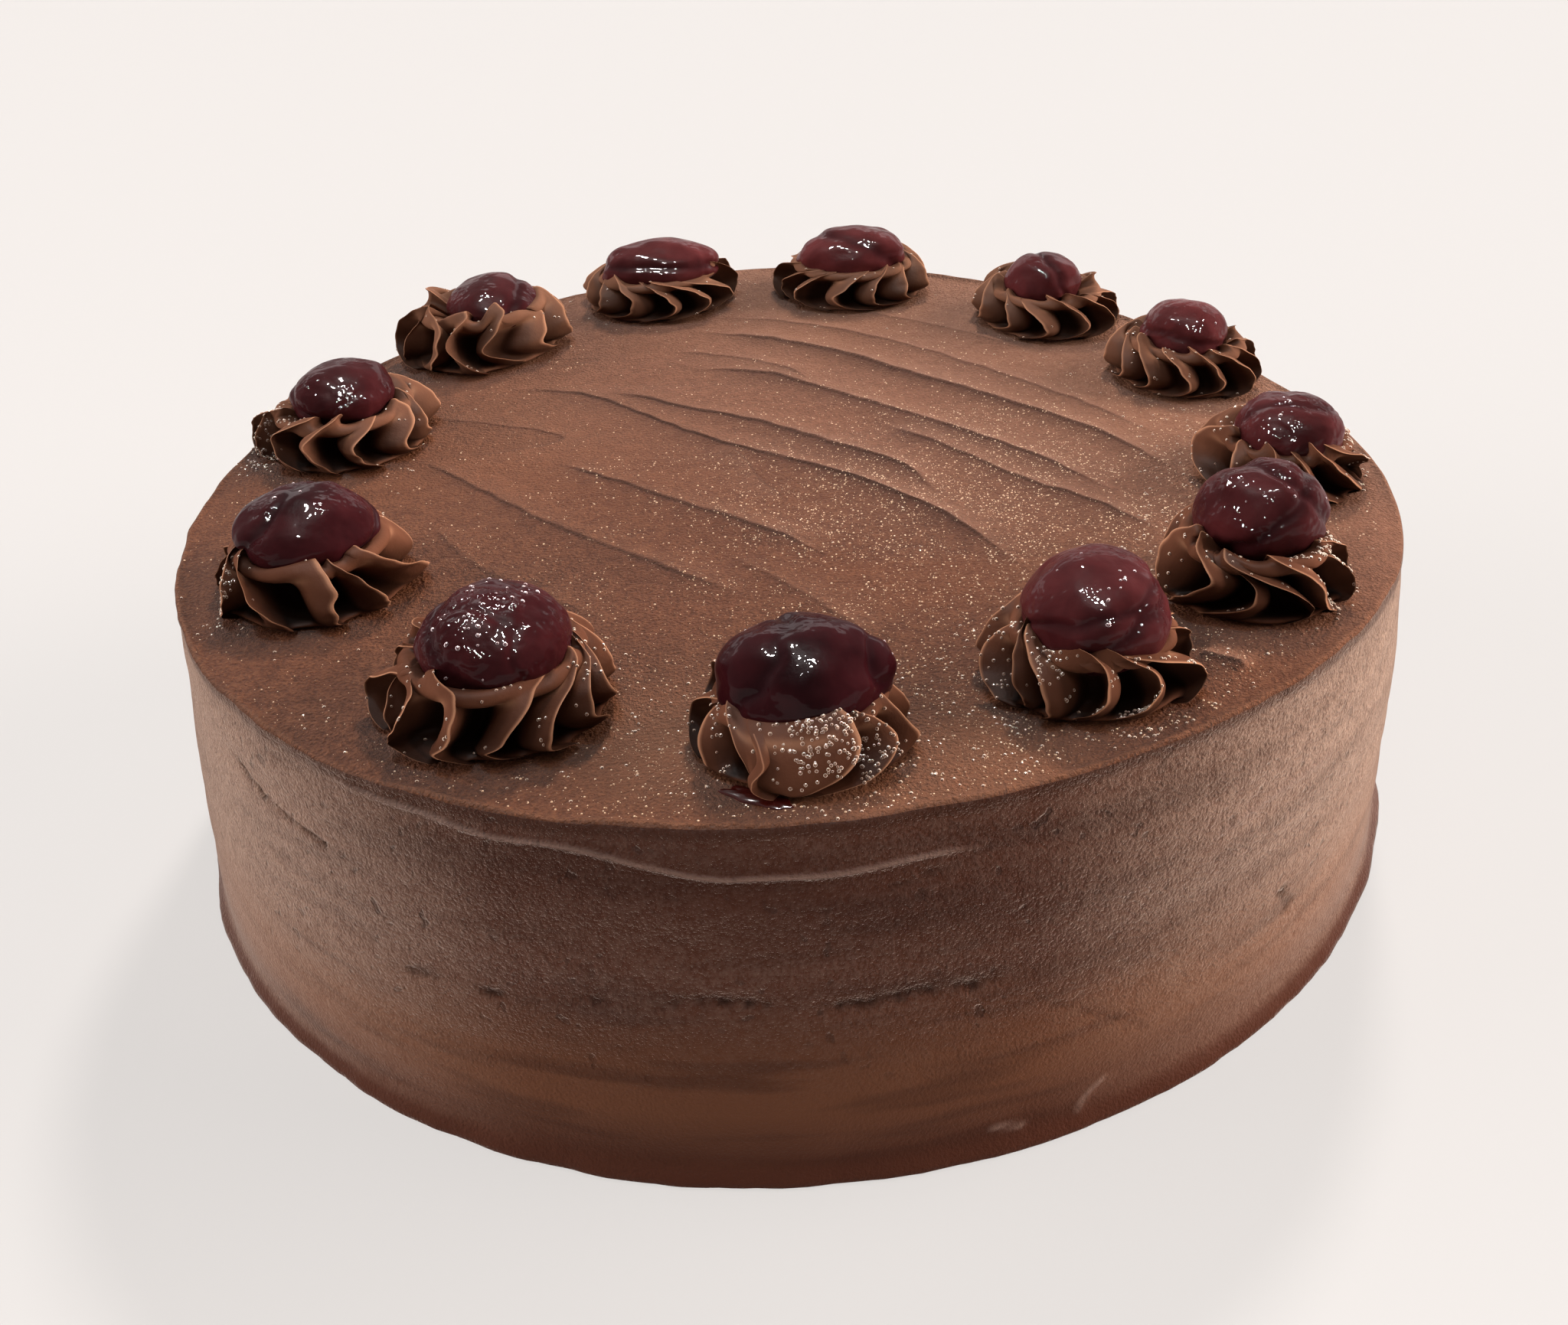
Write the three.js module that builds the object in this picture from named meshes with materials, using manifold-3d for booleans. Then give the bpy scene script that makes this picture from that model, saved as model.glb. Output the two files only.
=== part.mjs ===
// A round chocolate cake: one iced body, and on it a ring of piped rosettes, each holding a cherry.
// Millimetres, +Z up. The origin is the centre of the flat underside, and -Y is the front.

import * as THREE from "three";
import { mergeVertices } from "three/addons/utils/BufferGeometryUtils.js";
import Module from "manifold-3d";

const wasm = await Module();
wasm.setup();

// The iced body, from the board up
const cakeHeight = 57.2;
const topRadius = 100;
const sideFootRadius = 104.2;
const sideBelly = 0.5; // how far the side stands out at mid height from a straight line
const smearRadius = 106.3; // the thin foot of icing dragged out at the bottom
const smearHeight = 2.2;
const smearBlend = 5; // the height at which the foot has run into the side
const smearRound = 0.3;
const rimRound = 1.6; // how far the rounded edge comes in and down
const topRingShares = [0.88, 0.76, 0.62]; // rings that let the top dip and rise, as shares of its radius
const bodySegments = 72;

// The hand-spread icing: how far the rim wanders out and up, as waves round the cake (cosine, sine)
const rimOutWaves = [
  [1.5, -0.9],
  [-0.4, -0.7],
  [1.0, -1.0],
];
const rimUpWaves = [
  [-2.1, 0.4],
  [-1.2, -0.2],
  [-0.6, -0.4],
];

// Gap between pieces that touch
const gap = 0.3;

// A rosette's outline as shares of its radius and rise
const rosetteProfile = [
  [0, 0],
  [0.88, 0],
  [1, 0.3],
  [0.8, 1],
  [0, 0.55],
];
const segmentsPerFold = 4;
const coreShare = 0.3; // the share of the radius inside which there are no folds
const foldDepth = 0.11; // half the depth from crest to valley, as a share of the radius
const foldLean = 0.35; // how far a fold's crest leans over, as a share of the fold

// Cherries
const cherryDetail = 2;
const cherryLump = 0.05; // share of the radius
const topFlattening = 0.6; // share of the lump

// One row for each rosette. angle: degrees from +X; ring: distance from the axis; radius, rise and depth:
// the rosette's size along the ring, upwards and across the ring; folds and twist (degrees): its ruffle.
// cherry: half its length, width and height, its top above the icing, its turn in degrees and its shift.
const rosettes = [
  { angle: -88.6, ring: 82.2, radius: 14.8, depth: 14.0, rise: 9.0, folds: 8, twist: 20,
    cherry: { half: [11.6, 9.8, 7.4], top: 17.0, turn: -8, shift: 0.9 } },
  { angle: -60.3, ring: 83.0, radius: 13.9, depth: 13.6, rise: 9.5, folds: 8, twist: -25,
    cherry: { half: [10.6, 9.4, 8.0], top: 18.2, turn: 25, shift: 0.2 } },
  { angle: -35.9, ring: 85.0, radius: 13.4, depth: 13.2, rise: 10.0, folds: 9, twist: 25,
    cherry: { half: [9.2, 9.0, 8.4], top: 19.0, turn: -30, shift: 1.6 } },
  { angle: -8.0, ring: 85.8, radius: 14.0, depth: 13.4, rise: 8.0, folds: 9, twist: 30,
    cherry: { half: [9.4, 9.0, 6.4], top: 14.6, turn: 40, shift: -0.6 } },
  { angle: 22.8, ring: 86.2, radius: 14.4, depth: 13.4, rise: 8.0, folds: 10, twist: 25,
    cherry: { half: [8.6, 8.6, 6.4], top: 14.6, turn: 0, shift: 0.5 } },
  { angle: 47.6, ring: 86.2, radius: 14.8, depth: 13.4, rise: 7.5, folds: 10, twist: 25,
    cherry: { half: [8.0, 7.6, 5.8], top: 13.4, turn: 20, shift: 0.6 } },
  { angle: 76.4, ring: 86.0, radius: 16.0, depth: 13.8, rise: 7.5, folds: 9, twist: -30,
    cherry: { half: [11.4, 9.6, 6.2], top: 14.0, turn: 5, shift: 0 } },
  { angle: 103.8, ring: 87.6, radius: 16.3, depth: 13.8, rise: 7.2, folds: 9, twist: 25,
    cherry: { half: [12.3, 9.2, 5.9], top: 13.5, turn: -6, shift: -0.8 } },
  { angle: 130.2, ring: 85.8, radius: 16.6, depth: 14.4, rise: 8.6, folds: 9, twist: -25,
    cherry: { half: [11.4, 9.2, 6.4], top: 14.6, turn: 12, shift: -2.4 } },
  { angle: 162.9, ring: 79.8, radius: 16.4, depth: 15.6, rise: 8.5, folds: 10, twist: 25,
    cherry: { half: [10.2, 9.2, 6.6], top: 15.0, turn: 30, shift: -0.8 } },
  { angle: -155.8, ring: 77.6, radius: 15.9, depth: 15.2, rise: 8.5, folds: 10, twist: 30,
    cherry: { half: [11.2, 10.2, 7.4], top: 16.8, turn: -35, shift: 0.4 } },
  { angle: -118.7, ring: 79.6, radius: 16.6, depth: 15.4, rise: 10.0, folds: 9, twist: -25,
    cherry: { half: [10.6, 10.0, 8.0], top: 18.4, turn: 10, shift: 0.5 } },
];

const frostingMaterial = { color: 0x5a3526, roughness: 0.62, metalness: 0 };
const rosetteMaterial = { color: 0x50301f, roughness: 0.48, metalness: 0 };
const cherryMaterial = { color: 0x2a1218, roughness: 0.18, metalness: 0 };

// The sum of a few waves round the cake, at an angle in radians.
function waveSum(waves, angle) {
  return waves.reduce((sum, [cosine, sine], i) => {
    const turns = (i + 1) * angle;
    return sum + cosine * Math.cos(turns) + sine * Math.sin(turns);
  }, 0);
}

// How far the top lies above or below level at a point: nothing at the middle, most at the rim.
function topRise(x, y) {
  const share = Math.hypot(x, y) / topRadius;
  return waveSum(rimUpWaves, Math.atan2(y, x)) * share * share;
}

// A closed geometry with only positions, its shared vertices merged and its collapsed faces dropped.
function bare(geometry) {
  geometry.deleteAttribute("normal");
  geometry.deleteAttribute("uv");
  const merged = mergeVertices(geometry, 1e-3);
  const kept = [];
  const corners = merged.index.array;
  for (let i = 0; i < corners.length; i += 3) {
    const [a, b, c] = corners.slice(i, i + 3);
    if (a !== b && b !== c && c !== a) kept.push(a, b, c);
  }
  merged.setIndex(kept);
  return merged;
}

// Moves every vertex of a geometry with a function of its position.
function reshape(geometry, move) {
  const positions = geometry.attributes.position;
  const point = new THREE.Vector3();
  for (let i = 0; i < positions.count; i++) {
    point.fromBufferAttribute(positions, i);
    move(point);
    positions.setXYZ(i, point.x, point.y, point.z);
  }
  return geometry;
}

// A solid of revolution about +Z from a profile of [radius, height] points that starts and ends on the axis.
function turned(profile, segments) {
  const points = profile.map(([radius, height]) => new THREE.Vector2(radius, height));
  return bare(new THREE.LatheGeometry(points, segments).rotateX(Math.PI / 2));
}

function solidOf(geometry) {
  return new wasm.Manifold(
    new wasm.Mesh({
      numProp: 3,
      vertProperties: geometry.attributes.position.array,
      triVerts: new Uint32Array(geometry.index.array),
    }),
  );
}

function geometryOf(solid) {
  const mesh = solid.getMesh();
  const geometry = new THREE.BufferGeometry();
  geometry.setAttribute("position", new THREE.BufferAttribute(mesh.vertProperties, mesh.numProp));
  geometry.setIndex(new THREE.BufferAttribute(mesh.triVerts, 1));
  return geometry;
}

// The iced body: flat underside, thin foot, side with a slight draft, rounded rim and gently uneven top.
function cakeGeometry() {
  const rimBevel = rimRound * (1 - Math.SQRT1_2);
  const profile = [
    [0, 0],
    [smearRadius - smearRound, 0],
    [smearRadius, smearRound],
    [(smearRadius + sideFootRadius) / 2, smearHeight],
    [sideFootRadius, smearBlend],
    [(sideFootRadius + topRadius) / 2 + sideBelly, cakeHeight / 2],
    [topRadius, cakeHeight - rimRound],
    [topRadius - rimBevel, cakeHeight - rimBevel],
    [topRadius - rimRound, cakeHeight],
    ...topRingShares.map((share) => [share * topRadius, cakeHeight]),
    [0, cakeHeight],
  ];
  return reshape(turned(profile, bodySegments), (point) => {
    const upShare = THREE.MathUtils.smoothstep(point.z, 0, cakeHeight);
    const angle = Math.atan2(point.y, point.x);
    const spread = 1 + (waveSum(rimOutWaves, angle) / topRadius) * upShare;
    point.z += topRise(point.x, point.y) * upShare;
    point.x *= spread;
    point.y *= spread;
  });
}

// A cherry about its own centre, grown by a clearance: an uneven ellipsoid, a little flattened on top.
function cherryGeometry(half, turn, clearance) {
  const [length, width, height] = half.map((size) => size + clearance);
  const ball = bare(new THREE.IcosahedronGeometry(1, cherryDetail));
  reshape(ball, (point) => {
    const around = Math.atan2(point.y, point.x);
    const girth = Math.cos(2 * around + turn) * (1 - point.z ** 2);
    const flattening = topFlattening * Math.max(point.z, 0);
    point.multiplyScalar(1 + cherryLump * (girth - flattening));
    point.set(length * point.x, width * point.y, height * point.z);
  });
  return ball.rotateZ(THREE.MathUtils.degToRad(turn));
}

// A rosette about its own foot: a mound whose side is pleated into leaning, twisted folds.
function rosetteGeometry({ radius, depth, rise, folds, twist }) {
  const mound = turned(
    rosetteProfile.map(([across, up]) => [across * radius, up * rise]),
    folds * segmentsPerFold,
  );
  const foldAngle = (2 * Math.PI) / folds;
  return reshape(mound, (point) => {
    const out = Math.hypot(point.x, point.y);
    const angle = Math.atan2(point.y, point.x);
    const crest = out > coreShare * radius ? Math.cos(angle * folds) : 0;
    const reach = Math.max(out + foldDepth * radius * (crest - 1), 0);
    const turn = THREE.MathUtils.degToRad(twist) * (point.z / rise) + 0.5 * foldLean * foldAngle * crest;
    point.x = reach * Math.cos(angle + turn);
    point.y = reach * Math.sin(angle + turn) * (depth / radius);
  });
}

function meshOf(name, geometry, material) {
  const mesh = new THREE.Mesh(geometry, new THREE.MeshStandardMaterial(material));
  mesh.name = name;
  return mesh;
}

// A rosette and its cherry in the cake's own frame: built facing out along -Y, turned to their angle on the
// ring, and sheared to follow the top. The cherry's seat is cut out of the rosette.
function rosetteWithCherry(row, number) {
  const facing = THREE.MathUtils.degToRad(row.angle + 90);
  const place = (geometry, lift) => {
    geometry.translate(0, -row.ring, lift).rotateZ(facing);
    return reshape(geometry, (point) => {
      point.z += cakeHeight + topRise(point.x, point.y);
    });
  };
  const { half, top, turn, shift } = row.cherry;
  const seated = (clearance) => {
    const cherry = cherryGeometry(half, turn, clearance).translate(shift, 0, 0);
    return place(cherry, top - half[2]);
  };
  const mound = place(rosetteGeometry(row), gap);
  const seat = seated(gap);
  const label = String(number).padStart(2, "0");
  return [
    meshOf(`rosette_${label}`, geometryOf(solidOf(mound).subtract(solidOf(seat))), rosetteMaterial),
    meshOf(`cherry_${label}`, seated(0), cherryMaterial),
  ];
}

const cake = new THREE.Group();
cake.add(meshOf("cake_body", cakeGeometry(), frostingMaterial));
rosettes.forEach((row, i) => cake.add(...rosetteWithCherry(row, i + 1)));

export default cake;
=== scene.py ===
import bpy
import bmesh
import math
import random
import numpy as np
from mathutils import Euler, Matrix, Vector, noise
from mathutils.bvhtree import BVHTree


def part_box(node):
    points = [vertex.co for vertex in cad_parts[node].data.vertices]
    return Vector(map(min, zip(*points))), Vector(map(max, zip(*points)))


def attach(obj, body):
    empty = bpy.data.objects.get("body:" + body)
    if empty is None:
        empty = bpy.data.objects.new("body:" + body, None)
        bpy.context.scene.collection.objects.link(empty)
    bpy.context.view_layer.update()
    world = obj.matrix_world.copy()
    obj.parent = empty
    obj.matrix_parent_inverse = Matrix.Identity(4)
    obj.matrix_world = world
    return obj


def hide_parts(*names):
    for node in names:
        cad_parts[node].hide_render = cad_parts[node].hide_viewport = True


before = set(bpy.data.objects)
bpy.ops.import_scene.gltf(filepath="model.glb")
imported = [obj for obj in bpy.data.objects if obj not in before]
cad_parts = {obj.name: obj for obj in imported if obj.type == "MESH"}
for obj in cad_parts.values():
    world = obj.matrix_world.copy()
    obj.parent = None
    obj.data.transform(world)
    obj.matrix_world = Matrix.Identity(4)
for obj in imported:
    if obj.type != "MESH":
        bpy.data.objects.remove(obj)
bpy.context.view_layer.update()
mm = 0.001


# helpers for meshes

def smoothStep(value, low, high):
    share = np.clip((value - low) / (high - low), 0, 1)
    return share * share * (3 - 2 * share)


def curveThrough(points, shares):
    # a smooth curve through given points, read at shares from 0 to 1 of the way along
    points = np.array(points, float)
    place = np.clip(shares, 0, 1) * (len(points) - 1)
    first = np.minimum(place.astype(int), len(points) - 2)
    part = (place - first)[:, None]
    before, here = points[np.maximum(first - 1, 0)], points[first]
    there, after = points[first + 1], points[np.minimum(first + 2, len(points) - 1)]
    return 0.5 * (2 * here + (there - before) * part
                  + (2 * before - 5 * here + 4 * there - after) * part ** 2
                  + (3 * here - before - 3 * there + after) * part ** 3)


def noiseAt(places, scale, seed=0.0):
    # smooth noise from -1 to 1 at each place
    offset = Vector((seed * 7.3, seed * 3.1, seed * 5.7))
    return np.array([noise.noise(Vector(place) * scale + offset) for place in places])


def noiseOver(first, second, third, scale, seed):
    # the same noise over three measures, each an array or one number
    return noiseAt(np.stack(np.broadcast_arrays(first, second, third), 1), scale, seed)


def spotShare(x, y, spot):
    # a round spot's strength at each place, full in its middle and fading over its reach
    middleX, middleY, reach, strength = spot
    return strength * np.exp(-((x - middleX) ** 2 + (y - middleY) ** 2) / reach ** 2)


def meshPlaces(mesh):
    places = np.empty(len(mesh.vertices) * 3)
    mesh.vertices.foreach_get("co", places)
    return places.reshape(-1, 3)


def setPlaces(mesh, places):
    mesh.vertices.foreach_set("co", np.asarray(places, float).ravel())
    mesh.update()


def addMask(mesh, name, values):
    mask = mesh.attributes.new(name, "FLOAT", "POINT")
    mask.data.foreach_set("value", np.asarray(values, np.float32))


def closedGrid(columns, rows):
    # a grid that is to be rolled up round the axis: its mesh, and each vertex's column and row
    bm = bmesh.new()
    bmesh.ops.create_grid(bm, x_segments=columns, y_segments=rows, size=1)
    places = np.array([vert.co for vert in bm.verts])
    column = np.round((places[:, 0] + 1) / 2 * columns).astype(int) % columns
    row = np.round((places[:, 1] + 1) / 2 * rows).astype(int)
    return bm, column, row


def closeUp(bm):
    # merges the seam and the poles of a rolled-up grid
    bmesh.ops.remove_doubles(bm, verts=bm.verts, dist=1e-8)
    bmesh.ops.recalc_face_normals(bm, faces=bm.faces)
    return bm


def shadeSmooth(mesh):
    mesh.polygons.foreach_set("use_smooth", [True] * len(mesh.polygons))


def meshFrom(bm, name):
    mesh = bpy.data.meshes.new(name)
    bm.to_mesh(mesh)
    bm.free()
    shadeSmooth(mesh)
    return mesh


def addObject(name, data):
    thing = bpy.data.objects.new(name, data)
    bpy.context.scene.collection.objects.link(thing)
    return thing


def addPiece(name, mesh, materials, slot, *nodes):
    piece = addObject(name, mesh)
    for material in materials:
        mesh.materials.append(material)
    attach(piece, "root")
    if nodes:
        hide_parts(*nodes)
    return piece


# drawn lines, such as spatula edges and cracks

def softLine(points, rounds=2):
    # cuts the corners off a drawn line and keeps its ends
    line = np.array(points, float)
    for _ in range(rounds):
        here, there = line[:-1], line[1:]
        cut = np.empty((2 * len(here), 2))
        cut[0::2] = 0.75 * here + 0.25 * there
        cut[1::2] = 0.25 * here + 0.75 * there
        line = np.vstack([line[:1], cut[1:-1], line[-1:]])
    return line


def offLine(places, line):
    # distance to a line, positive on its left, and how far along it the nearest point lies
    runs = np.diff(line, axis=0)
    lengths = np.hypot(runs[:, 0], runs[:, 1])
    passed = np.concatenate([[0], lengths.cumsum()])
    best = np.full(len(places), np.inf)
    side = np.ones(len(places))
    share = np.zeros(len(places))
    for start, run, length, done in zip(line, runs, lengths, passed):
        away = places - start
        along = np.clip(away @ run / length ** 2, 0, 1)
        gap = away - along[:, None] * run
        distance = np.hypot(gap[:, 0], gap[:, 1])
        closer = distance < best
        best[closer] = distance[closer]
        side[closer] = np.where(run[0] * away[closer, 1] - run[1] * away[closer, 0] < 0, -1, 1)
        share[closer] = (done + along[closer] * length) / passed[-1]
    return best * side, share


# the hand-spread shape of the cake, read from the frame

def firstWaves(turns, values):
    # the cosine and sine of the first three waves that the values make round the cake
    return [(2 * (values * np.cos(k * turns)).mean(), 2 * (values * np.sin(k * turns)).mean())
            for k in (1, 2, 3)]


def rimWaves(node):
    # how the CAD rim wanders out and up from a true circle, as three waves round the cake
    places = meshPlaces(node.data) / mm
    out = np.hypot(places[:, 0], places[:, 1])
    level = places[out < 0.01][:, 2].max()
    upper = places[(out > 90) & (places[:, 2] > level - 12)]
    turns = np.round(np.arctan2(upper[:, 1], upper[:, 0]), 3)
    waves = []
    for turn in np.unique(turns):
        ring = upper[turns == turn]
        widest = ring[np.hypot(ring[:, 0], ring[:, 1]).argmax()]
        waves.append((turn, math.hypot(*widest[:2]), ring[:, 2].max() - level))
    turns, outs, ups = np.array(waves).T
    return {
        "level": level,
        "radius": outs.mean(),
        "out": firstWaves(turns, outs),
        "up": firstWaves(turns, ups),
    }


shape = rimWaves(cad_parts["cake_body"])


def waveSum(waves, turn):
    return sum(a * np.cos(k * turn) + b * np.sin(k * turn) for k, (a, b) in enumerate(waves, 1))


def topRise(x, y):
    # the top's gentle dips and rises in mm, none at the middle and most at the rim
    share = np.hypot(x, y) / shape["radius"]
    return waveSum(shape["up"], np.arctan2(y, x)) * share ** 2


print("shape read from the frame:", round(shape["level"], 2), round(shape["radius"], 2))


# node helpers and the groups that several finishes share

def feed(tree, socket, value):
    # links a node's output to a socket, or sets the socket's own value
    if isinstance(value, bpy.types.NodeSocket):
        tree.links.new(value, socket)
    else:
        socket.default_value = value


def addNode(tree, kind, inputs=None, **settings):
    node = tree.nodes.new(kind)
    for name, value in settings.items():
        setattr(node, name, value)
    for name, value in (inputs or {}).items():
        feed(tree, node.inputs[name], value)
    return node


def addMath(tree, operation, first, second=0.0):
    return addNode(tree, "ShaderNodeMath", {0: first, 1: second}, operation=operation).outputs[0]


def multiply(tree, first, *others):
    for other in others:
        first = addMath(tree, "MULTIPLY", first, other)
    return first


def mapRange(tree, value, low, high, toLow=0.0, toHigh=1.0):
    return addNode(tree, "ShaderNodeMapRange", {
        "Value": value, "From Min": low, "From Max": high, "To Min": toLow, "To Max": toHigh,
    }).outputs["Result"]


def mixColours(tree, share, first, second):
    return addNode(tree, "ShaderNodeMix", {0: share, 6: first, 7: second}, data_type="RGBA").outputs[2]


def addNoise(tree, place, scale, detail, **more):
    return addNode(tree, "ShaderNodeTexNoise", {
        "Vector": place, "Scale": scale, "Detail": detail, **more,
    }).outputs["Fac"]


def axisOf(tree, place, axis):
    return addNode(tree, "ShaderNodeSeparateXYZ", {0: place}).outputs[axis]


def newGroup(name, inputs, outputs):
    group = bpy.data.node_groups.new(name, "ShaderNodeTree")
    for socketName, socketType, value in inputs:
        socket = group.interface.new_socket(socketName, in_out="INPUT", socket_type=socketType)
        if value is not None:
            socket.default_value = value
    for socketName, socketType in outputs:
        group.interface.new_socket(socketName, in_out="OUTPUT", socket_type=socketType)
    ends = addNode(group, "NodeGroupInput"), addNode(group, "NodeGroupOutput")
    return group, ends[0].outputs, ends[1].inputs


def makeGrainGroup():
    # fine whipped grain over soft unevenness
    group, given, out = newGroup("creamGrain", [
        ("Vector", "NodeSocketVector", None),
        ("Fine Scale", "NodeSocketFloat", 1500.0),
        ("Soft Scale", "NodeSocketFloat", 200.0),
        ("Soft Share", "NodeSocketFloat", 0.5),
    ], [("Height", "NodeSocketFloat")])
    fine = addNoise(group, given["Vector"], given["Fine Scale"], 3.0, Roughness=0.6)
    soft = addNoise(group, given["Vector"], given["Soft Scale"], 2.0, Roughness=0.5)
    mixed = addNode(group, "ShaderNodeMix", {0: given["Soft Share"], 2: fine, 3: soft}, data_type="FLOAT")
    group.links.new(mixed.outputs[0], out["Height"])
    return group


def makeToneGroup():
    # slow drifts of tone from dark to light, with a clear contrast
    group, given, out = newGroup("toneDrift", [
        ("Vector", "NodeSocketVector", None),
        ("Scale", "NodeSocketFloat", 30.0),
        ("Softness", "NodeSocketFloat", 0.2),
    ], [("Mask", "NodeSocketFloat")])
    drift = addNoise(group, given["Vector"], given["Scale"], 3.0, Roughness=0.55, Distortion=0.4)
    low = addMath(group, "SUBTRACT", 0.5, given["Softness"])
    high = addMath(group, "ADD", 0.5, given["Softness"])
    group.links.new(mapRange(group, drift, low, high), out["Mask"])
    return group


grainGroup = makeGrainGroup()
toneGroup = makeToneGroup()


def grainOn(tree, place, fineScale, softScale, softShare):
    return addNode(tree, "ShaderNodeGroup", {
        "Vector": place, "Fine Scale": fineScale, "Soft Scale": softScale, "Soft Share": softShare,
    }, node_tree=grainGroup).outputs["Height"]


def toneOn(tree, place, scale, softness):
    return addNode(tree, "ShaderNodeGroup", {
        "Vector": place, "Scale": scale, "Softness": softness,
    }, node_tree=toneGroup).outputs["Mask"]


def newMaterial(name, fixed):
    material = bpy.data.materials.new(name)
    material.use_nodes = True
    shader = material.node_tree.nodes["Principled BSDF"]
    for socket, value in fixed.items():
        shader.inputs[socket].default_value = value
    return material, material.node_tree, shader


def objectPlace(tree, scale=(1, 1, 1), turn=(0, 0, 0)):
    place = addNode(tree, "ShaderNodeTexCoord").outputs["Object"]
    return addNode(tree, "ShaderNodeMapping", {"Vector": place, "Scale": scale, "Rotation": turn}).outputs[0]


def readMask(tree, name):
    return addNode(tree, "ShaderNodeAttribute", attribute_name=name).outputs["Fac"]


def paintMask(tree, colour, mask, share, paint):
    # lays a second colour over the first where one of the mesh's masks is set
    return mixColours(tree, multiply(tree, readMask(tree, mask), share), colour, paint)


def addBump(tree, shader, height, distance, strength, socket="Normal"):
    bump = addNode(tree, "ShaderNodeBump", {"Height": height, "Distance": distance, "Strength": strength})
    tree.links.new(bump.outputs["Normal"], shader.inputs[socket])


# icing: the spread buttercream over the whole cake

# lengths in mm
icing = {
    "segments": 384,
    "footOut": 106.0, "footHeight": 2.2, "footBlend": 5.0,
    "sideFoot": 104.2, "belly": 0.5,
    "topRadius": 100.0, "rimRound": 0.6,
    "sideRows": 46, "topRows": 64,
    # how near to the lines on the top and round the side the mesh is split, once for each
    "topWithin": (1.5, 0.7), "sideWithin": (1.6, 0.8, 0.45),
    # a spatula edge's step and crest as shares of its height, the crest's reach and the reach of both painted
    # masks (highlight and shade)
    "step": 0.5, "crest": 2.1, "crestReach": 3.0, "farReach": 3.4, "nearReach": 3.2,
    "sweepCentre": (-34, -56), "sweepHeight": 0.22, "fineSweepHeight": 0.05,
    "waveDepth": 0.28, "fineWaveDepth": 0.10,  # soft waves round the side
    "burrOut": 99.3, "burrWidth": 0.55,
    "rubbedAt": -21, "rubbedWidth": 9, "rubbedDepth": 1.1,  # a stretch of rim, in degrees, and mm down
    "rimFade": (95, 98.5),  # where the marks on the top die out toward the rim
}

# each: points in mm on the top, height of the edge, how far its high side runs out (left of the line)
spatulaLines = [
    ([(-54, 45), (-42, 42), (-33, 38), (-21, 25), (-7, 10), (6, 0), (18, -11), (29, -25),
      (38, -44)], 0.55, 9),
    ([(-9, 11), (-5, 6), (-3, -2), (3, -15)], 0.3, -4),
    ([(-33, 39), (-22, 34), (-14, 27), (0, 18), (13, 5), (24, -6), (27, -18)], 0.6, 9),
    ([(-18, 47), (-8, 45), (4, 39), (12, 31), (21, 23), (34, 9), (45, -4), (57, -20)], 0.5, 8),
    ([(-18, 56), (-6, 51), (3, 44), (10, 36)], 0.3, 6),
    ([(-16, 67), (-2, 60), (14, 50), (29, 36), (42, 23), (54, 10), (69, -14)], 0.6, 10),
    ([(20, 16), (31, 2), (40, -11), (49, -19), (60, -33)], 0.4, 7),
    ([(-66, 15), (-60, 9), (-51, -1), (-39, -14), (-26, -25), (-13, -37), (-2, -46)], 0.45, 10),
    ([(-40, 10), (-27, -1), (-14, -12), (-1, -23), (9, -34)], 0.5, 8),
    ([(-67, 33), (-58, 30), (-48, 26), (-40, 22), (-37, 19), (-41, 16), (-50, 14), (-63, 14)], 0.28, 2),
    ([(-45, 57), (-36, 57), (-31, 55), (-36, 53), (-44, 53)], 0.2, 2),
    ([(-58, -12), (-50, -26), (-38, -38), (-24, -48)], 0.25, 8),
    ([(-12, 74), (4, 68), (22, 58), (40, 42), (58, 20), (70, 0)], 0.3, 9),
    ([(2, 78), (20, 72), (40, 60), (56, 44)], 0.2, 8),
    ([(-8, -30), (4, -44), (14, -60)], 0.2, 6),
    ([(36, -50), (50, -46), (62, -50)], 0.25, 4),
    ([(55, -67.8), (58.2, -69.4), (60.8, -72)], 0.5, 1.5),
]

# soft pools of painted light on the top: centre in mm, reach in mm, strength
paintedLightSpots = [
    (-15, -80, 13, 0.8), (26, -88, 11, 0.65), (10, -96, 12, 0.4), (13, 70, 28, 0.45), (60, 20, 24, 0.4),
    (-48, 20, 26, 0.3),
]

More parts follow.
